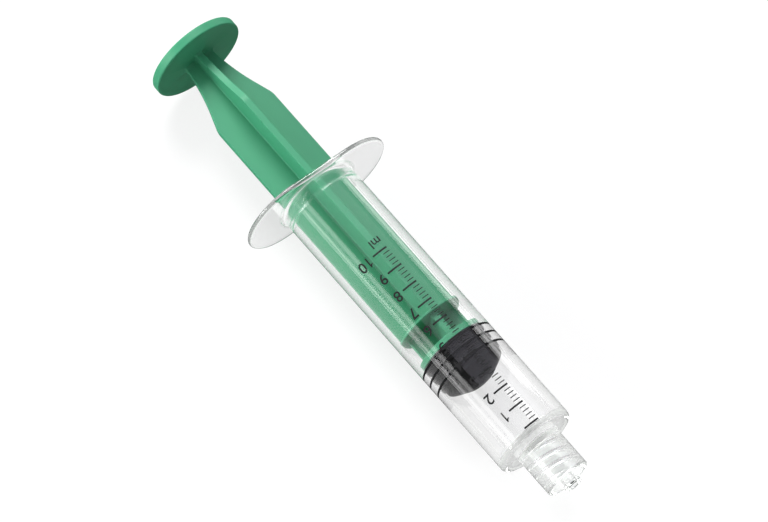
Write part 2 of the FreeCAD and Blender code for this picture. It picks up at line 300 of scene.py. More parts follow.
@dataclass(frozen=True, kw_only=True)
class ClearPlastic(Finish):
    """Clear moulded plastic that bends what is behind it and lets the lamps through to the floor.

    It is polished outside, duller at its mouth and on the inside of its end. The end is painted faintly grey
    as shade, more so at its edges, and the flange's rim is painted dark as shade, most where it comes near
    the tube. Straight light takes the place of rays that were bent too often, and some of it is lost in the
    collar and the nozzle.

    Each span is a pair of stations, where a look begins and where it is full. An edge of painted shade has
    such a pair, the radius outside which it lies and its strength: the shoulder's corner, the collar's lip,
    the nozzle's end.
    """

    pose: SyringePose
    index: float = 1.58
    flow: Noise = Noise(240.0, 1.0, (0.25, 1.0, 1.0))
    ripple: float = 0.0012
    haze: Noise = Noise(900.0, 3.0)
    haze_dullness: float = 0.02
    mouth_span: Pair = (4.2, 2.2)
    mouth_dullness: float = 0.14
    end_span: Pair = (71.5, 72.3)
    end_dullness: float = 0.35
    # Painted shade: the grey laid over the barrel's end.
    end_colour: Triple = (0.965, 0.97, 0.967)
    tip_span: Pair = (84.6, 84.2)
    tube_end: float = 73.9
    tube_radius: float = 8.2
    lock_radius: float = 4.6
    # Painted shade on the shoulder's corner, the collar's lip and the nozzle's end.
    edges: tuple[tuple[Pair, float, float], ...] = (
        ((72.9, 73.6), 8.2, 0.22), ((83.8, 84.0), 4.95, 0.35), ((85.7, 85.95), 1.75, 0.5))
    rim_rear: Pair = (-1.15, -0.95)
    rim_front: Pair = (-0.05, -0.25)
    rim_radius: float = 10.4
    rim_reach: float = 20.0
    # Painted shade on the flange's rim: its colour, and by rim_share how much of it lies at each distance to
    # the side.
    rim_colour: Triple = (0.05, 0.055, 0.053)
    rim_share: tuple[Pair, ...] = (
        (0.0, 0.35), (0.18, 0.45), (0.3, 0.93), (0.46, 0.95), (0.56, 0.8), (1.0, 0.78))
    shadow: Triple = (0.97, 0.98, 0.97)
    deepest: float = 5.5
    lost_span: Pair = (75.5, 77.0)
    lost_light: Triple = (0.82, 0.825, 0.82)

    def places(self, tree: Tree) -> tuple[Wire, Wire, Wire]:
        """Return station, distance to the side and squared distance from the axis, in millimetres."""
        place = add_node(tree, "ShaderNodeTexCoord")
        x, y, z = read(tree, "ShaderNodeSeparateXYZ", "XYZ", {0: place.outputs["Object"]})
        origin, axis = self.pose.origin, self.pose.axis
        along, side, high = (x - origin.x) / MM, y / MM, (z - origin.z) / MM
        station = along * axis.x + high * axis.z
        up = high * axis.x - along * axis.z
        return station, side.size(), side * side + up * up

    def dullness(self, tree: Tree, station: Wire, spread: Wire) -> Wire:
        """Return the roughness from station and squared distance from the axis."""
        in_tube = (1.0 - station.above(self.tube_end)) * (1.0 - spread.above(self.tube_radius ** 2))
        inside = in_tube.highest(1.0 - spread.above(self.lock_radius ** 2))
        inside = inside * station.ramp(*self.end_span) * station.ramp(*self.tip_span)
        near = 1.0 - spread.above(self.rim_radius ** 2)
        mouth = station.ramp(*self.mouth_span) * near * self.mouth_dullness
        return self.roughness + self.haze_dullness * self.haze.add(tree) + inside * self.end_dullness + mouth

    def tint(self, tree: Tree, station: Wire, side: Wire, spread: Wire) -> Socket:
        """Return the colour, with painted shade on the end, its edges and the flange's rim, from station,
        distance to the side and squared distance from the axis.
        """
        band = station.ramp(*self.rim_rear) * station.ramp(*self.rim_front)
        rim = band * spread.above(self.rim_radius ** 2)
        # Painted shade on the flange's rim, strongest near the tube.
        share = rim * (side / self.rim_reach).curve(self.rim_share)
        # Painted shade on the shoulder's corner, the collar's lip and the nozzle's end.
        for span, radius, strength in self.edges:
            share = share.highest(station.ramp(*span) * spread.above(radius ** 2) * strength)
        # Painted shade: the end turns faintly grey.
        plain = blend(tree, station.ramp(*self.end_span), self.colour, self.end_colour)
        return blend(tree, share, plain, self.rim_colour)

    def constants(self) -> dict:
        """Return the shader's inputs that stay the same all over."""
        return {**super().constants(), "Transmission Weight": 1.0, "IOR": self.index}

    def varying(self, tree: Tree) -> dict:
        """Return the shader's inputs that change from place to place."""
        station, side, spread = self.places(tree)
        return {"Base Color": self.tint(tree, station, side, spread),
                "Roughness": self.dullness(tree, station, spread),
                "Normal": relief(tree, self.flow.add(tree), self.ripple)}

    def surface(self, tree: Tree, shader: Node) -> Node:
        """Return the plastic with straight light for shadows, scattered light and trapped rays."""
        shadow, scattered, depth, turns = read(
            tree, "ShaderNodeLightPath", ("Is Shadow Ray", "Is Diffuse Ray", "Ray Depth", "Glossy Depth"))
        lit = shadow.highest(scattered)
        trapped = depth.above(self.deepest).highest(turns.above(TWICE))
        lost = self.places(tree)[0].ramp(*self.lost_span) * trapped * (1.0 - lit)
        straight, dimmed = (add_node(tree, "ShaderNodeBsdfTransparent", None, {"Color": (*colour, 1.0)})
                            for colour in (self.shadow, self.lost_light))
        return choose(tree, lit.highest(trapped), shader, choose(tree, lost, straight, dimmed))


@dataclass(frozen=True, kw_only=True)
class MouldedPlastic(Finish):
    """Opaque satin plastic with a faint flow in its colour and a fine moulded grain."""

    deep: Triple
    sheen: float = 0.25
    glow: float = 0.1
    glow_radius: Triple = (0.4, 1.0, 0.6)
    glow_depth: float = 1.2
    flow: Noise = Noise(160.0, 3.0, (0.3, 1.0, 1.0))
    speckle: Noise = Noise(2600.0)
    speckle_dullness: float = 0.1
    grain: float = 0.004

    def constants(self) -> dict:
        """Return the shader's inputs that stay the same all over."""
        return {**super().constants(), "Subsurface Weight": self.glow, "Subsurface Radius": self.glow_radius,
                "Subsurface Scale": self.glow_depth * MM}

    def varying(self, tree: Tree) -> dict:
        """Return the shader's inputs that change from place to place."""
        speckle = self.speckle.add(tree)
        least = self.roughness - self.speckle_dullness / 2
        return {"Base Color": blend(tree, self.flow.add(tree), self.deep, self.colour),
                "Roughness": least + self.speckle_dullness * speckle,
                "Normal": relief(tree, speckle, self.grain)}


@dataclass(frozen=True, kw_only=True)
class Rubber(Finish):
    """Dark rubber with a dull bloom and a film of oil."""

    sheen: float = 0.06
    bloom: Triple = (0.01, 0.01, 0.011)
    cloud: Noise = Noise(700.0, 4.0)
    cloud_dullness: float = 0.12
    skin: Noise = Noise(3000.0)
    grain: float = 0.006

    def varying(self, tree: Tree) -> dict:
        """Return the shader's inputs that change from place to place."""
        cloud = self.cloud.add(tree)
        return {"Base Color": blend(tree, cloud, self.colour, self.bloom),
                "Roughness": self.roughness + self.cloud_dullness * cloud,
                "Normal": relief(tree, self.skin.add(tree), self.grain)}


@dataclass(frozen=True, kw_only=True)
class Ink(Finish):
    """Screen-printed ink, slightly uneven."""

    sheen: float = 0.2
    patch: Noise = Noise(4000.0, 3.0)
    thinnest: float = 1.6

    def varying(self, tree: Tree) -> dict:
        """Return the shader's inputs that change from place to place."""
        thin = tuple(self.thinnest * part for part in self.colour)
        return {"Base Color": blend(tree, self.patch.add(tree), self.colour, thin)}


# Outlines and meshes


def rounded(corners: Sequence[Corner], steps: int = 6, guard: float = 0.06,
            closed: bool = False) -> np.ndarray:
    """Return an outline whose corners are rounded, with a guard point beside each arc and corner.

    Args:
        corners: (station, radius) or (station, radius, rounding) in millimetres.
        steps: segments of each arc.
        guard: distance of the guard points from arcs and corners.
        closed: whether the last corner joins the first.

    Returns:
        The points, one row each.
    """
    count = len(corners)
    points: list[np.ndarray] = []
    for index, corner in enumerate(corners):
        here = np.array(corner[:2], float)
        at_end = not closed and index in (0, count - 1)
        if at_end or len(corner) < 3:
            points.append(here[None])
            continue
        back = np.array(corners[index - 1][:2]) - here
        onward = np.array(corners[(index + 1) % count][:2]) - here
        points.append(corner_arc(here, back / np.linalg.norm(back), onward / np.linalg.norm(onward),
                                 corner[2], steps))
    runs = []
    for index in range(count):
        runs.append(points[index])
        if index == count - 1 and not closed:
            break
        start, end = points[index][-1], points[(index + 1) % count][0]
        length = np.linalg.norm(end - start)
        if length > 4 * guard:
            step = (end - start) / length * guard
            runs.append(np.array([start + step, end - step]))
    return np.concatenate(runs)


def corner_arc(here: np.ndarray, back: np.ndarray, onward: np.ndarray, radius: float,
               steps: int) -> np.ndarray:
    """Return the points of an arc that rounds one corner.

    Args:
        here: the corner.
        back: unit vector to the corner before.
        onward: unit vector to the corner after.
        radius: radius of the arc.
        steps: its segments.

    Returns:
        The points from the incoming side to the outgoing one.
    """
    half = math.acos(np.clip(back @ onward, -1, 1)) / 2
    centre = here + (back + onward) / np.linalg.norm(back + onward) * radius / math.sin(half)
    first = here + back * radius / math.tan(half) - centre
    last = here + onward * radius / math.tan(half) - centre
    sweep = math.pi - 2 * half
    share = np.linspace(0, 1, steps + 1)[:, None]
    return centre + (np.sin((1 - share) * sweep) * first + np.sin(share * sweep) * last) / math.sin(sweep)


def spin(outline: np.ndarray, segments: int, reshape: Callable | None = None,
         closed: bool = False) -> Drawing:
    """Turn an outline about the axis.

    Args:
        outline: stations and radii; a radius of 0 at either end becomes a pole.
        segments: steps round the axis.
        reshape: takes a station, a radius and the angles and returns a radius for each angle.
        closed: whether the outline is a ring with no pole.

    Returns:
        The drawing, in the syringe's frame.
    """
    angles = np.arange(segments) * 2 * math.pi / segments
    drawing = bmesh.new()
    rings = []
    for station, radius in outline:
        if radius < TINY:
            rings.append([drawing.verts.new((station, 0, 0))])
            continue
        radii = reshape(station, radius, angles) if reshape else np.full(segments, radius)
        rings.append([drawing.verts.new((station, r * math.sin(a), r * math.cos(a)))
                      for r, a in zip(radii, angles)])
    for one, other in list(zip(rings, rings[1:])) + ([(rings[-1], rings[0])] if closed else []):
        join_rings(drawing, one, other)
    bmesh.ops.recalc_face_normals(drawing, faces=drawing.faces)
    return drawing


def join_rings(drawing: Drawing, one: list, other: list) -> None:
    """Fill the band between two rings, or the fan between a ring and a pole."""
    count = max(len(one), len(other))
    for index in range(count):
        after = (index + 1) % count
        corners = [one[index % len(one)], one[after % len(one)],
                   other[after % len(other)], other[index % len(other)]]
        distinct = list(dict.fromkeys(corners))
        if len(distinct) > 2:
            drawing.faces.new(distinct)


def to_mesh(name: str, drawing: Drawing) -> Mesh:
    """Return a drawing as a mesh and free the drawing."""
    data = bpy.data.meshes.new(name)
    drawing.to_mesh(data)
    drawing.free()
    return data


def show(name: str, data: bpy.types.ID) -> Item:
    """Put an object with its data into the scene and return it."""
    item = bpy.data.objects.new(name, data)
    bpy.context.scene.collection.objects.link(item)
    return item


def evaluated_mesh(item: Item) -> Mesh:
    """Return a plain mesh of an object with its modifiers applied."""
    graph = bpy.context.evaluated_depsgraph_get()
    return bpy.data.meshes.new_from_object(item.evaluated_get(graph))


def fuse(target: Item, tool: Item) -> None:
    """Unite a tool with a target as one closed mesh and remove the tool."""
    modifier = target.modifiers.new("unite", "BOOLEAN")
    modifier.operation = "UNION"
    modifier.solver = "EXACT"
    modifier.object = tool
    united = evaluated_mesh(target)
    target.modifiers.remove(modifier)
    target.data = united
    bpy.data.objects.remove(tool)


class Piece:
    """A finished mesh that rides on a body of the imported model."""

    def __init__(self, name: str, drawing: Drawing, matrix: Matrix) -> None:
        """Place a drawing that was made in the syringe's frame."""
        data = to_mesh(name, drawing)
        data.transform(matrix)
        self.item = show(name, data)

    def shade(self, angle: float) -> "Piece":
        """Shade the mesh smooth, except where faces meet at more than an angle in degrees."""
        self.item.data.shade_smooth()
        self.item.data.set_sharp_from_angle(angle=math.radians(angle))
        return self

    def dress(self, material: Material) -> "Piece":
        """Give the whole piece one material."""
        self.item.data.materials.clear()
        self.item.data.materials.append(material)
        return self

    def ride(self, body: str, slot: Slot, replaces: Sequence[str] = ()) -> None:
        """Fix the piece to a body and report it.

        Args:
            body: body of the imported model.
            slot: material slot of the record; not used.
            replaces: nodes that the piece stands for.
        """
        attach(self.item, body)
        if replaces:
            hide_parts(*replaces)
        self.item.data.calc_loop_triangles()
        LOG.info("%s: %d triangles on %s", self.item.name, len(self.item.data.loop_triangles), body)


# Sub-assemblies


@dataclass
class Barrel:
    """Clear moulding: tube, finger flange, end wall, lock collar and nozzle.

    The shares are heights above the tube, in root roundings: where the flange's flat face begins, and where
    its rings start to follow the outline of its rim.
    """

    pose: SyringePose
    bore: float = 7.95
    wall: float = 1.35
    length: float = 74.13
    shoulder_rounding: float = 1.1
    flange_half_length: float = 18.67
    flange_half_height: float = 11.38
    flange_thickness: float = 1.2
    rim_rounding: float = 0.55
    root_rounding: float = 0.9
    hub_share: float = 1.05
    rim_share: float = 1.5
    mouth_widening: float = 0.65
    mouth_length: float = 3.1
    mouth_rounding: float = 0.15
    bead_station: float = 2.2
    bead_height: float = 0.1
    bead_width: float = 1.3
    bead_rounding: float = 0.5
    bead_foot_rounding: float = 0.2
    end_wall: float = 1.75
    end_rounding: float = 0.4
    recess_step: Pair = (2.0, 3.6)
    recess_height: float = 2.7
    recess_rounding: float = 0.5
    passage: float = 1.05
    passage_rounding: float = 0.3
    collar_radius: float = 5.26
    collar_wall: float = 1.26
    collar_length: float = 10.12
    collar_floor: float = 1.3
    collar_root_rounding: float = 0.45
    collar_rounding: float = 0.3
    tip_radius: float = 1.99
    tip_reach: float = 1.9
    tip_rounding: float = 0.12
    taper: float = 0.03
    thread_depth: float = 0.5
    thread_lead: float = 5.0
    thread_starts: int = 2
    thread_crest: float = 0.35
    thread_foot: float = 1.1
    thread_rows: int = 72
    thread_margins: Pair = (0.5, 0.9)
    thread_fade: float = 0.5
    segments: int = 192
    sharp_angle: float = 50.0

    @property
    def outer(self) -> float:
        """Outside radius of the tube."""
        return self.bore + self.wall

    @property
    def collar_end(self) -> float:
        """Station of the collar's open end."""
        return self.length + self.collar_length

    @property
    def collar_inside(self) -> float:
        """Radius of the collar's inside between the ridges of its thread."""
        return self.collar_radius - self.collar_wall

    def outline(self) -> np.ndarray:
        """Return the closed section of the moulding."""
        end, tip = self.collar_end, self.collar_end + self.tip_reach
        rear, inside = -self.flange_thickness, self.collar_inside
        hub = self.outer + self.hub_share * self.root_rounding
        end_corner = self.length - self.end_wall
        step_height, step_radius = self.recess_step
        dome_slope = (self.recess_height - step_height) / step_radius
        passage_start = end_corner + self.recess_height - self.passage * dome_slope
        floor = self.length + self.collar_floor
        nozzle_floor = self.tip_radius + self.taper * (tip - floor)
        nozzle_end = self.tip_radius + self.taper * self.tip_reach
        bead, half = self.bead_station, self.bead_width / 2
        bead_radius = self.bore - self.bead_height
        mouth_left = max(rear + self.mouth_length - (bead - half), 0.0)
        bead_foot = self.bore + self.mouth_widening * mouth_left / self.mouth_length
        corners = [
            (rear, self.bore + self.mouth_widening, self.mouth_rounding),
            (rear, self.flange_half_length, self.rim_rounding),
            (0.0, self.flange_half_length, self.rim_rounding),
            (0.0, hub),
            (0.0, self.outer, self.root_rounding),
            (self.length, self.outer, self.shoulder_rounding),
            (self.length, self.collar_radius, self.collar_root_rounding),
            (end, self.collar_radius, self.collar_rounding),
            (end, inside, self.collar_rounding),
            (floor, inside, self.collar_rounding),
            (floor, nozzle_floor, self.collar_rounding),
            (end, nozzle_end),
            (tip, self.tip_radius, self.tip_rounding),
            (tip, self.passage, self.tip_rounding),
            (passage_start, self.passage, self.passage_rounding),
            (end_corner + step_height, step_radius, self.recess_rounding),
            (end_corner, self.bore, self.end_rounding),
            (bead + half, self.bore, self.bead_rounding),
            (bead + half / 3, bead_radius, self.bead_rounding),
            (bead - half / 3, bead_radius, self.bead_rounding),
            (bead - half, bead_foot, self.bead_foot_rounding),
        ]
        return self.with_thread_rows(rounded(corners, closed=True))

    def with_thread_rows(self, outline: np.ndarray) -> np.ndarray:
        """Divide the run along the collar's inside so that the thread can be pressed into it."""
        on_inside = np.flatnonzero(np.isclose(outline[:, 1], self.collar_inside))
        first, last = int(on_inside[0]), int(on_inside[-1])
        rows = np.linspace(outline[first, 0], outline[last, 0], self.thread_rows)
        run = np.column_stack([rows, np.full(len(rows), self.collar_inside)])
        return np.concatenate([outline[:first], run, outline[last + 1:]])

    def flange_edge(self, angles: np.ndarray, inset: float) -> np.ndarray:
        """Return the radii of the flange's outline, two half circles joined by flats, less an inset."""
        flat = self.flange_half_length - self.flange_half_height
        half = self.flange_half_height - inset
        side, up = np.abs(np.sin(angles)), np.abs(np.cos(angles))
        on_arc = flat * side + np.sqrt(np.maximum(half ** 2 - (flat * up) ** 2, 0.0))
        return np.where(side * half <= flat * up, half / np.maximum(up, TINY), on_arc)

    def thread(self, station: float, angles: np.ndarray) -> np.ndarray:
        """Return how far the double-start thread stands inwards at each angle."""
        spacing = self.thread_lead / self.thread_starts
        turns = angles / (2 * math.pi) * self.thread_lead
        phase = np.mod(station - turns, spacing) - spacing / 2
        flank = (self.thread_foot - self.thread_crest) / 2
        ridge = np.clip((self.thread_foot / 2 - np.abs(phase)) / flank, 0, 1)
        ridge = ridge * ridge * (3 - 2 * ridge)
        floor_margin, end_margin = self.thread_margins
        ends = np.clip((self.collar_end - end_margin - station) / self.thread_fade, 0, 1)
        ends *= np.clip((station - self.length - self.collar_floor - floor_margin) / self.thread_fade, 0, 1)
        return self.thread_depth * ridge * ends

    def reshape(self, station: float, radius: float, angles: np.ndarray) -> np.ndarray:
        """Give the flange its outline and press the thread into the collar.

        Args:
            station: along the axis.
            radius: of the plain moulding.
            angles: round the axis, from the top.

        Returns:
            The radii of the real one.
        """
        if radius > self.outer + self.root_rounding * self.rim_share:
            return self.flange_edge(angles, self.flange_half_length - radius)
        plain = np.full(len(angles), radius)
        if station > self.length and np.isclose(radius, self.collar_inside):
            return plain - self.thread(station, angles)
        return plain

    def build(self, clear: Material) -> None:
        """Make the barrel."""
        drawing = spin(self.outline(), self.segments, self.reshape, closed=True)
        piece = Piece("barrel_moulding", drawing, self.pose.matrix())
        piece.shade(self.sharp_angle).dress(clear).ride("barrel", Slot.CLEAR, ["barrel"])


@dataclass
class Stopper:
    """Rubber stopper with three sealing ribs and a blunt nose in two slopes."""

    pose: SyringePose
    rear: float
    bore: float = 7.95
    length: float = 7.05
    land: float = 7.4
    land_rounding: float = 0.3
    rear_rounding: float = 0.03
    rear_step: Pair = (0.02, 0.05)
    nose: float = 2.7
    nose_step: Pair = (2.0, 3.6)
    nose_rounding: float = 1.5
    squeeze: float = 0.004
    seals: Triple = (0.52, 2.85, 5.4)
    crest: float = 0.62
    crest_rounding: float = 0.08
    foot: float = 1.1
    foot_rounding: float = 0.1
    socket_mouth: float = 2.6
    socket_lip: float = 1.42
    socket_wide: float = 4.4
    socket_narrow: float = 3.1
    socket_depth: float = 2.8
    socket_rounding: float = 0.2
    arc_steps: int = 4
    segments: int = 160
    sharp_angle: float = 40.0

    def outline(self) -> np.ndarray:
        """Return the section from the socket's pole to the nose's."""
        bottom = self.socket_lip + self.socket_depth
        corners: list[Corner] = [
            (bottom, 0.0),
            (bottom, self.socket_narrow, self.socket_rounding),
            (self.socket_lip, self.socket_wide, self.socket_rounding),
            (self.socket_lip, self.socket_mouth, self.socket_rounding),
            (0.0, self.socket_mouth, self.socket_rounding),
            (0.0, self.land, self.rear_rounding),
        ]
        rear_step, rear_rise = self.rear_step
        top = self.bore + self.squeeze
        for seal in self.seals:
            corners += [
                (seal - self.foot / 2, self.land, self.foot_rounding) if seal > self.foot
                else (rear_step, self.land + rear_rise),
                (seal - self.crest / 2, top, self.crest_rounding),
                (seal + self.crest / 2, top, self.crest_rounding),
                (seal + self.foot / 2, self.land, self.foot_rounding),
            ]
        step_height, step_radius = self.nose_step
        corners += [
            (self.length, self.land, self.land_rounding),
            (self.length + step_height, step_radius, self.nose_rounding),
            (self.length + self.nose, 0.0),
        ]
        return rounded(corners, self.arc_steps) + np.array([self.rear, 0.0])

    def build(self, rubber: Material) -> None:
        """Make the stopper."""
        piece = Piece("stopper_rubber", spin(self.outline(), self.segments), self.pose.matrix())
        piece.shade(self.sharp_angle).dress(rubber).ride("stopper", Slot.RUBBER, ["stopper"])


@dataclass
class Plunger:
    """Green moulding: thumb disc, cross-ribbed rod, guide disc, seat disc and snap head.

    It is drawn from the thumb disc's rear face on, and the field rear holds that face's station.
    """

    pose: SyringePose
    rear: float
    turn: float = math.radians(4.65)
    thumb_radius: float = 11.25
    thumb_thickness: float = 2.2
    thumb_rounding: float = 0.35
    rod_length: float = 88.34
    rib_thickness: float = 1.55
    rib_half_width: float = 7.6
    root_half_width: float = 3.6
    neck_half_width: float = 4.47
    neck_length: float = 7.2
    neck_bend: float = 50.0
    flare_length: float = 9.3
    flare_bend: float = 6.0
    bend_steps: int = 14
    bridge_half_width: float = 6.5
    bridge_half_slope: float = 0.1
    edge_rounding: float = 0.14
    core_rounding: float = 0.25
    section_steps: int = 3
    section_guard: float = 0.05
    foot_rounding: float = 0.8
    foot_share: float = 0.8
    foot_rings: int = 7
    disc_radius: float = 7.87
    guide_thickness: float = 0.6
    guide_spacing: float = 6.08
    seat_thickness: float = 1.35
    stem_radius: float = 2.5
    stem_length: float = 1.6
    head_radius: float = 4.3
    head_front: float = 3.0
    head_length: float = 2.6
    head_rounding: float = 0.2
    head_front_rounding: float = 0.3
    segments: int = 144
    sharp_angle: float = 32.0

    @property
    def seat(self) -> float:
        """Station of the seat disc's front face, from the thumb disc's rear face."""
        return self.thumb_thickness + self.rod_length

    @property
    def guide_front(self) -> float:
        """Station of the guide disc's front face, from the thumb disc's rear face."""
        return self.seat - self.seat_thickness - self.guide_spacing

    def widths(self) -> np.ndarray:
        """Return the rod's side: stations and half widths."""
        front, neck = self.thumb_thickness, self.thumb_thickness + self.neck_length
        guide = self.guide_front - self.guide_thickness / 2
        corners = [
            (front / 2, self.root_half_width),
            (front, self.root_half_width),
            (neck, self.neck_half_width, self.neck_bend),
            (neck + self.flare_length, self.rib_half_width, self.flare_bend),
            (guide - self.bridge_half_slope, self.rib_half_width),
            (guide + self.bridge_half_slope, self.bridge_half_width),
            (self.seat - self.seat_thickness / 2, self.bridge_half_width),
        ]
        return rounded(corners, self.bend_steps)

    def section(self, half: float, foot: float) -> np.ndarray:
        """Return one cross of the rod, seen along the axis.

        Args:
            half: half width of the ribs.
            foot: how much the cross grows where it meets the thumb disc.

        Returns:
            The closed ring of points.
        """
        side, reach = self.rib_thickness / 2 + foot, half + foot
        arm = [(side, side, self.core_rounding), (reach, side, self.edge_rounding),
               (reach, -side, self.edge_rounding)]
        corners: list[Corner] = []
        for cos, sin in ((1, 0), (0, 1), (-1, 0), (0, -1)):
            for across, up, rounding in reversed(arm):
                corners.append((across * cos - up * sin, across * sin + up * cos, rounding))
        return rounded(corners, self.section_steps, self.section_guard, closed=True)

    def rod(self) -> Drawing:
        """Return the cross-ribbed rod as one closed loft."""
        widths, front = self.widths(), self.thumb_thickness
        foot_places = front + self.foot_rounding * (1 - np.cos(np.linspace(0, math.pi / 2, self.foot_rings)))
        stations = np.unique(np.round(np.concatenate([widths[:, 0], foot_places]), 4))
        drawing = bmesh.new()
        rings = []
        for station in stations:
            half = float(np.interp(station, widths[:, 0], widths[:, 1]))
            depth = min(max((station - front) / self.foot_rounding, 0.0), 1.0)
            foot = self.foot_rounding * (1 - math.sqrt(1 - (1 - depth) ** 2)) * self.foot_share
            ring = self.section(half, foot)
            rings.append([drawing.verts.new((station, across, up)) for across, up in ring])
        for one, other in zip(rings, rings[1:]):
            join_rings(drawing, one, other)
        drawing.faces.new(rings[0])
        drawing.faces.new(rings[-1])
        bmesh.ops.recalc_face_normals(drawing, faces=drawing.faces)
        return drawing

    def disc(self, rear: float, front: float, radius: float, rounding: float) -> list[Corner]:
        """Return the outline of a plain disc from its rear face to its front face."""
        return [(rear, 0.0), (rear, radius, rounding), (front, radius, rounding), (front, 0.0)]

    def discs(self) -> list[Drawing]:
        """Return thumb disc, guide disc and the seat disc with its stem and head."""
        seat, rounding = self.seat, self.head_rounding
        head = seat + self.stem_length
        outlines = [
            self.disc(0.0, self.thumb_thickness, self.thumb_radius, self.thumb_rounding),
            self.disc(self.guide_front - self.guide_thickness, self.guide_front, self.disc_radius,
                      self.edge_rounding),
            self.disc(seat - self.seat_thickness, seat, self.disc_radius, self.edge_rounding)[:-1] + [
                (seat, self.stem_radius, rounding),
                (head, self.stem_radius, rounding),
                (head, self.head_radius, rounding),
                (head + self.head_length, self.head_front, self.head_front_rounding),
                (head + self.head_length, 0.0),
            ],
        ]
        return [spin(rounded(corners), self.segments) for corners in outlines]

    def build(self, green: Material) -> None:
        """Make the plunger as one closed moulding."""
        whole = Piece("plunger_moulding", self.rod(), Matrix.Identity(4))
        for number, drawing in enumerate(self.discs()):
            fuse(whole.item, Piece("plunger_disc_%d" % number, drawing, Matrix.Identity(4)).item)
        shift = Matrix.Translation((self.rear, 0, 0)) @ Matrix.Rotation(self.turn, 4, "X")
        whole.item.data.transform(self.pose.matrix() @ shift)
        whole.shade(self.sharp_angle).dress(green).ride("plunger", Slot.GREEN, ["plunger"])


@dataclass
class Scale:
    """Printed marks, numbers and unit on the barrel."""

    pose: SyringePose
    zero: float = 72.28
    pitch: float = 5.036
    capacity: int = 10
    divisions: int = 5
    radius: float = 9.3
    lift: float = 0.002
    film: float = 0.02
    top_angle: float = math.radians(2.5)
    long_mark: float = 3.7
    short_mark: float = 1.66
    long_width: float = 0.42
    short_width: float = 0.22
    mark_rows: int = 11
    mark_weld: float = 0.001
    number_angle: float = math.radians(-29.9)
    number_height: float = 2.5
    number_shift: float = 0.35
    number_step: float = 1.75
    unit_angle: float = math.radians(-5.3)
    unit_station: float = 19.8
    unit_height: float = 2.1
    stroke: float = 0.04
    capital_share: float = 0.73
    letter_weld: float = 1e-4
    cut_reach: float = 3.0
    cut_step: float = 0.3
    sharp_angle: float = 30.0

    def inputs(self, ink: Material) -> dict[str, int | float | Material]:
        """Return the inputs of the node tree for the marks, by name."""
        return {
            "Marks": self.capacity * self.divisions + 1, "Marks Per Number": self.divisions,
            "Spacing": -self.pitch / self.divisions, "Start": self.zero, "Long Mark": self.long_mark,
            "Short Mark": self.short_mark, "Long Width": self.long_width, "Short Width": self.short_width,
            "Radius": self.radius + self.lift, "Top Angle": self.top_angle, "Film": self.film,
            "Material": ink,
        }

    def tree(self, inputs: dict[str, int | float | Material]) -> bpy.types.GeometryNodeTree:
        """Return the node tree that lays the marks flat, wraps them round the barrel and gives them depth.

        Args:
            inputs: what the tree will be given, by name.

        Returns:
            The tree, with an input for each.
        """
        tree = bpy.data.node_groups.new("scale_marks", "GeometryNodeTree")
        kinds = {int: "NodeSocketInt", float: "NodeSocketFloat", Material: "NodeSocketMaterial"}
        for name, value in inputs.items():
            tree.interface.new_socket(name, in_out="INPUT", socket_type=kinds[type(value)])
        tree.interface.new_socket("Geometry", in_out="OUTPUT", socket_type="NodeSocketGeometry")
        given = add_node(tree, "NodeGroupInput").outputs
        offset = add_node(tree, "ShaderNodeCombineXYZ", None, {"X": given["Spacing"]})
        first = add_node(tree, "ShaderNodeCombineXYZ", None, {"X": given["Start"]})
        line = add_node(tree, "GeometryNodeMeshLine", {"mode": "OFFSET"},
                        {"Count": given["Marks"], "Offset": offset, "Start Location": first})
        index, = read(tree, "GeometryNodeInputIndex", ["Index"])
        is_short = (index % Wire(tree, given["Marks Per Number"])).above(0.5)
        width, length = (add_node(tree, "GeometryNodeSwitch", {"input_type": "FLOAT"}, {
            "Switch": is_short, "False": given["Long " + name], "True": given["Short " + name]})
            for name in ("Width", "Mark"))
        scale = add_node(tree, "ShaderNodeCombineXYZ", None, {"X": width, "Y": length, "Z": 1.0})
        grid = add_node(tree, "GeometryNodeMeshGrid", None,
                        {"Size X": 1.0, "Size Y": 1.0, "Vertices X": 2, "Vertices Y": self.mark_rows})
        hung = add_node(tree, "GeometryNodeTransform", None,
                        {"Geometry": grid, "Translation": (0.0, -0.5, 0.0)})
        marks = add_node(tree, "GeometryNodeInstanceOnPoints", None,
                         {"Points": line, "Instance": hung, "Scale": scale})
        flat = add_node(tree, "GeometryNodeRealizeInstances", None, {"Geometry": marks})
        thick = self.film_nodes(tree, self.wrap_nodes(tree, flat, given), given["Film"])
        done = add_node(tree, "GeometryNodeRealizeInstances", None, {"Geometry": thick})
        inked = add_node(tree, "GeometryNodeSetMaterial", None,
                         {"Geometry": done, "Material": given["Material"]})
        add_node(tree, "NodeGroupOutput", None, {0: inked})
        return tree

    def wrap_nodes(self, tree: Tree, flat: Node, given: bpy.types.NodeOutputs) -> Node:
        """Return the node that wraps a node's flat geometry round the barrel."""
        place = add_node(tree, "GeometryNodeInputPosition")
        x, y = read(tree, "ShaderNodeSeparateXYZ", "XY", {0: place})
        radius = Wire(tree, given["Radius"])
        angle = y / radius + Wire(tree, given["Top Angle"])
        bent = add_node(tree, "ShaderNodeCombineXYZ", None,
                        {"X": x, "Y": angle.sine() * radius, "Z": angle.cosine() * radius})
        return add_node(tree, "GeometryNodeSetPosition", None, {"Geometry": flat, "Position": bent})

    def film_nodes(self, tree: Tree, sheet: Node, film: Socket) -> Node:
        """Return the node that gives a node's sheet the depth of the ink, closed below."""
        raised = add_node(tree, "GeometryNodeExtrudeMesh", None,
                          {"Mesh": sheet, "Offset Scale": film, "Individual": False})
        below = add_node(tree, "GeometryNodeFlipFaces", None, {"Mesh": sheet})
        both = add_node(tree, "GeometryNodeJoinGeometry")
        for part in (raised, below):
            tree.links.new(part.outputs[0], both.inputs[0])
        return add_node(tree, "GeometryNodeMergeByDistance", None,
                        {"Geometry": both, "Distance": self.mark_weld})

    def stamp(self, name: str, drawing: Drawing, ink: Material) -> None:
        """Make one piece of print on the barrel."""
        Piece(name, drawing, self.pose.matrix()).shade(self.sharp_angle).dress(ink).ride("barrel", Slot.INK)

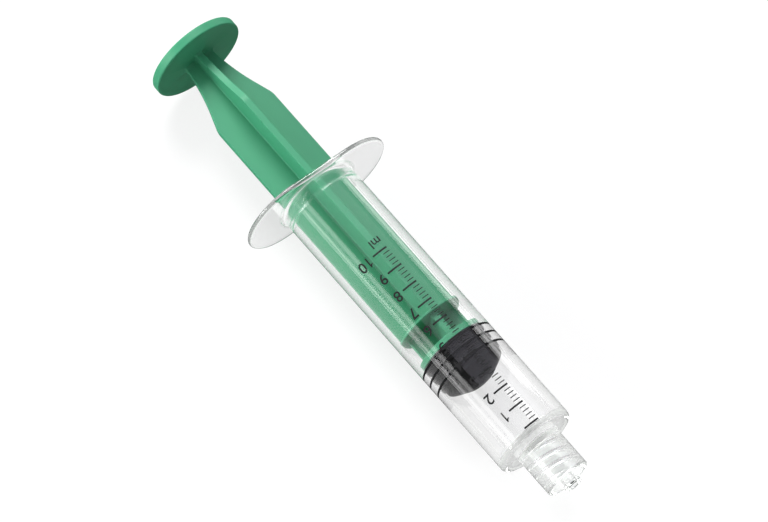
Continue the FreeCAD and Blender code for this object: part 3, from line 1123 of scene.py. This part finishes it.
    def marks(self, ink: Material) -> Drawing:
        """Return all marks as one drawing."""
        carrier = show("scale_carrier", bpy.data.meshes.new("scale_carrier"))
        modifier = carrier.modifiers.new("marks", "NODES")
        inputs = self.inputs(ink)
        modifier.node_group = self.tree(inputs)
        for item in modifier.node_group.interface.items_tree:
            if item.in_out == "INPUT":
                modifier[item.identifier] = inputs[item.name]
        drawing = bmesh.new()
        drawing.from_mesh(evaluated_mesh(carrier))
        bpy.data.objects.remove(carrier)
        bmesh.ops.recalc_face_normals(drawing, faces=drawing.faces)
        return drawing

    def glyph(self, text: str, height: float) -> Mesh:
        """Return the flat mesh of some characters, centred across, with the depth of the ink."""
        curve = bpy.data.curves.new("print", "FONT")
        curve.body = text
        curve.align_x = "CENTER"
        curve.size = height / self.capital_share
        curve.extrude = self.film / 2
        curve.offset = self.stroke
        curve.resolution_u = 4
        item = show("print", curve)
        data = evaluated_mesh(item)
        bpy.data.objects.remove(item)
        return data

    def one(self, height: float) -> Mesh:
        """Return the flat mesh of a 1 with a slanting flag, with the depth of the ink."""
        corners = [(-0.055, 0.0), (0.065, 0.0), (0.065, 1.0), (-0.03, 1.0), (-0.1, 0.86), (-0.25, 0.78),
                   (-0.25, 0.68), (-0.055, 0.73)]
        drawing = bmesh.new()
        rows = [[drawing.verts.new((x * height, y * height, z * self.film / 2)) for x, y in corners]
                for z in (-1, 1)]
        join_rings(drawing, *rows)
        for row in rows:
            drawing.faces.new(row)
        return to_mesh("print", drawing)

    def lettering(self, text: str, station: float, angle: float, height: float) -> Drawing:
        """Return printed characters, upright when the tip points up, bent round the barrel.

        Args:
            text: the characters; numerals follow each other from the angle on.
            station: middle of the characters along the axis.
            angle: middle of the unit or of the first numeral round the axis.
            height: height of a numeral.

        Returns:
            The drawing, in the syringe's frame.
        """
        drawing = bmesh.new()
        for index, sign in enumerate(text if text.isdigit() else [text]):
            data = self.one(height) if sign == "1" else self.glyph(sign, height)
            data.transform(Matrix.Translation((index * self.number_step, 0.0, 0.0)))
            drawing.from_mesh(data)
            bpy.data.meshes.remove(data)
        bmesh.ops.remove_doubles(drawing, verts=drawing.verts, dist=self.letter_weld)
        bmesh.ops.triangulate(drawing, faces=drawing.faces)
        for cut in np.arange(-self.cut_reach, self.cut_reach + self.cut_step / 2, self.cut_step):
            geometry = list(drawing.verts) + list(drawing.edges) + list(drawing.faces)
            bmesh.ops.bisect_plane(drawing, geom=geometry, plane_co=(cut, 0, 0), plane_no=(1, 0, 0))
        for vert in drawing.verts:
            across, up, depth = vert.co
            turn = angle - across / self.radius
            radius = self.radius + self.lift + self.film / 2 + depth
            vert.co = (station + up - height / 2, radius * math.sin(turn), radius * math.cos(turn))
        bmesh.ops.recalc_face_normals(drawing, faces=drawing.faces)
        return drawing

    def build(self, ink: Material) -> None:
        """Make marks, numbers and unit."""
        self.stamp("scale_marks", self.marks(ink), ink)
        for number in range(1, self.capacity + 1):
            station = self.zero - number * self.pitch + self.number_shift
            drawing = self.lettering(str(number), station, self.number_angle, self.number_height)
            self.stamp("scale_number_%d" % number, drawing, ink)
        unit = self.lettering("ml", self.unit_station, self.unit_angle, self.unit_height)
        self.stamp("scale_unit", unit, ink)


# Stage and camera


@dataclass(frozen=True)
class Lamp:
    """An area lamp whose first side lies along x, with its brightness against 1 for white."""

    name: str
    place: Triple
    size: Pair
    brightness: float
    aim: Triple = (0.0, 0.0, 0.0)
    colour: Triple = WHITE

    @classmethod
    def strip(cls, name: str, edges: Pair, x: float, brightness: float, length: float = 1.0) -> "Lamp":
        """Return a long lamp a metre beside the syringe.

        Args:
            name: the lamp's name.
            edges: its upper and lower edge, in degrees from the zenith towards +y.
            x: its middle along x, in metres.
            brightness: how bright its face is.
            length: its length in metres.

        Returns:
            The lamp.
        """
        upper, lower = edges
        middle = math.radians((upper + lower) / 2)
        width = 2 * math.tan(math.radians(abs(lower - upper)) / 2)
        place = (x, math.sin(middle), math.cos(middle))
        return cls(name, place, (length, width), brightness, (x, 0.0, 0.0))

    def build(self) -> None:
        """Put the lamp into the scene."""
        data = bpy.data.lights.new(self.name, "AREA")
        data.shape = "RECTANGLE"
        data.size, data.size_y = self.size
        data.color = self.colour
        data.energy = LAMP_POWER * self.size[0] * self.size[1] * self.brightness
        item = show(self.name, data)
        sight = (Vector(self.aim) - Vector(self.place)).normalized()
        up = (-sight).cross(Vector((1.0, 0.0, 0.0))).normalized()
        turn = Matrix((up.cross(-sight), up, -sight)).transposed().to_4x4()
        item.matrix_world = Matrix.Translation(self.place) @ turn
        item.visible_camera = False


@dataclass
class Studio:
    """Pale floor, soft lamps and the camera at the photograph's angle."""

    pose: SyringePose
    lean: float = math.radians(17.92)
    roll: float = math.radians(20.96)
    picture_angle: float = math.radians(48.547)
    distance: float = 925.0
    focal_pixels: float = 4305.7
    sensor_width: float = 36.0
    nearest: float = 0.01
    aim_station: float = 21.21
    aim_right: float = 0.97
    aim_up: float = 0.85
    floor_size: float = 3.0
    floor_colour: float = 0.75
    floor_glow: float = 1.1
    floor_mirrored: float = 0.1
    glow_share: float = 0.72
    room_behind: float = 0.75
    room_mirrored: float = 0.04
    room_light: float = 0.28
    lamps: tuple[Lamp, ...] = (
        Lamp("ceiling", (-0.4, 0.35, 1.2), (1.2, 2.4), 0.62, (-0.4, 0.35, 0.0), (0.98, 0.95, 1.1)),
        Lamp.strip("window_upper", (-54.5, -68.4), -0.32, 2.9),
        Lamp.strip("window_lower", (-74.4, -86.8), -0.32, 4.3),
        Lamp.strip("back_strip", (64.0, 84.0), -0.72, 3.6),
        Lamp("key", (-0.74, 0.2, 0.86), (0.5, 0.5), 21.0),
        Lamp("side_key", (-0.72, -0.8, 0.3), (0.4, 0.4), 22.5),
    )

    def camera(self) -> None:
        """Make the camera."""
        sight = Vector((math.sin(self.lean), -math.cos(self.lean) * math.sin(self.roll),
                        math.cos(self.lean) * math.cos(self.roll)))
        along = (Vector((1, 0, 0)) - sight.x * sight).normalized()
        across = sight.cross(along)
        cos, sin = math.cos(self.picture_angle), math.sin(self.picture_angle)
        right = cos * along + sin * across
        up = cos * across - sin * along
        aim = Vector((self.aim_station, 0, 0)) + self.aim_right * right + self.aim_up * up
        data = bpy.data.cameras.new("camera")
        data.sensor_width = self.sensor_width
        data.lens = self.focal_pixels / PHOTO_WIDTH * data.sensor_width
        data.clip_start = self.nearest
        item = show("camera", data)
        turn = self.pose.matrix().to_3x3() @ Matrix.Scale(1 / MM, 3)
        basis = Matrix((turn @ right, turn @ up, turn @ sight)).transposed().to_4x4()
        item.matrix_world = Matrix.Translation(self.pose.matrix() @ (aim + self.distance * sight)) @ basis
        bpy.context.scene.camera = item

    def rays(self, tree: Tree, from_inside: bool) -> tuple[Wire, Wire]:
        """Sort the rays that reach the surroundings.

        Args:
            tree: the node tree.
            from_inside: whether one reflection on the inside of the clear plastic counts as mirrored too.

        Returns:
            1 on rays that see the background, straight or through the clear plastic, and 1 on mirrored rays.
        """
        direct, through, turns = read(
            tree, "ShaderNodeLightPath", ("Is Camera Ray", "Is Transmission Ray", "Glossy Depth"))
        trapped = turns.above(TWICE)
        once = turns.above(ONCE) * (1.0 - trapped)
        mirrored = once if from_inside else once * (1.0 - through)
        return direct.highest(through).highest(trapped) * (1.0 - mirrored), mirrored

    def floor(self) -> None:
        """Make the white floor, which glows for the camera and still takes the shadow."""
        half = self.floor_size / 2
        drawing = bmesh.new()
        drawing.faces.new([drawing.verts.new((x * half, y * half, 0.0))
                           for x, y in ((-1, -1), (1, -1), (1, 1), (-1, 1))])
        item = show("floor", to_mesh("floor", drawing))
        material = bpy.data.materials.new("floor_white")
        tree = new_tree(material)
        background, mirrored = self.rays(tree, from_inside=False)
        paper = add_node(tree, "ShaderNodeBsdfDiffuse", None, {"Color": (*[self.floor_colour] * 3, 1.0)})
        brightness = background * self.floor_glow + mirrored * self.floor_mirrored
        glow = add_node(tree, "ShaderNodeEmission", None, {"Color": (*WHITE, 1.0), "Strength": brightness})
        shown = choose(tree, background * self.glow_share + mirrored, paper, glow)
        add_node(tree, "ShaderNodeOutputMaterial", None, {"Surface": shown})
        item.data.materials.append(material)

    def world(self) -> None:
        """Make a world that is pale behind and in the plastic, and a dim room elsewhere."""
        world = bpy.data.worlds.new("studio")
        tree = new_tree(world)
        background, mirrored = self.rays(tree, from_inside=True)
        plain = 1.0 - background.highest(mirrored)
        strength = background * self.room_behind + mirrored * self.room_mirrored + plain * self.room_light
        sky = add_node(tree, "ShaderNodeBackground", None, {"Color": (*WHITE, 1.0), "Strength": strength})
        add_node(tree, "ShaderNodeOutputWorld", None, {"Surface": sky})
        bpy.context.scene.world = world

    def build(self) -> None:
        """Make world, floor, lamps and camera."""
        self.world()
        self.floor()
        for lamp in self.lamps:
            lamp.build()
        self.camera()
        bpy.context.scene.view_settings.view_transform = "Standard"


def main() -> None:
    """Build the studio, then the syringe piece by piece."""
    logging.basicConfig(level=logging.INFO, format="%(name)s: %(message)s")
    record = frame["record"]
    pose = SyringePose.from_record(record)
    Studio(pose).build()
    clear = ClearPlastic(name="clear_polycarbonate", colour=WHITE, roughness=0.02, pose=pose).build()
    green = MouldedPlastic(name="green_satin", colour=(0.065, 0.357, 0.19), deep=(0.051, 0.308, 0.164),
                           roughness=0.4).build()
    rubber = Rubber(name="black_rubber", colour=(0.006, 0.006, 0.0065), roughness=0.4).build()
    ink = Ink(name="scale_ink", colour=(0.012, 0.012, 0.013), roughness=0.5).build()
    plunger = Plunger(pose, pose.station(find_mount(record, "thumb_face")["pos_m"]))
    plunger.build(green)
    Stopper(pose, plunger.rear + plunger.seat + SEAT_GAP).build(rubber)
    Barrel(pose).build(clear)
    Scale(pose).build(ink)


if __name__ == "__main__":
    main()
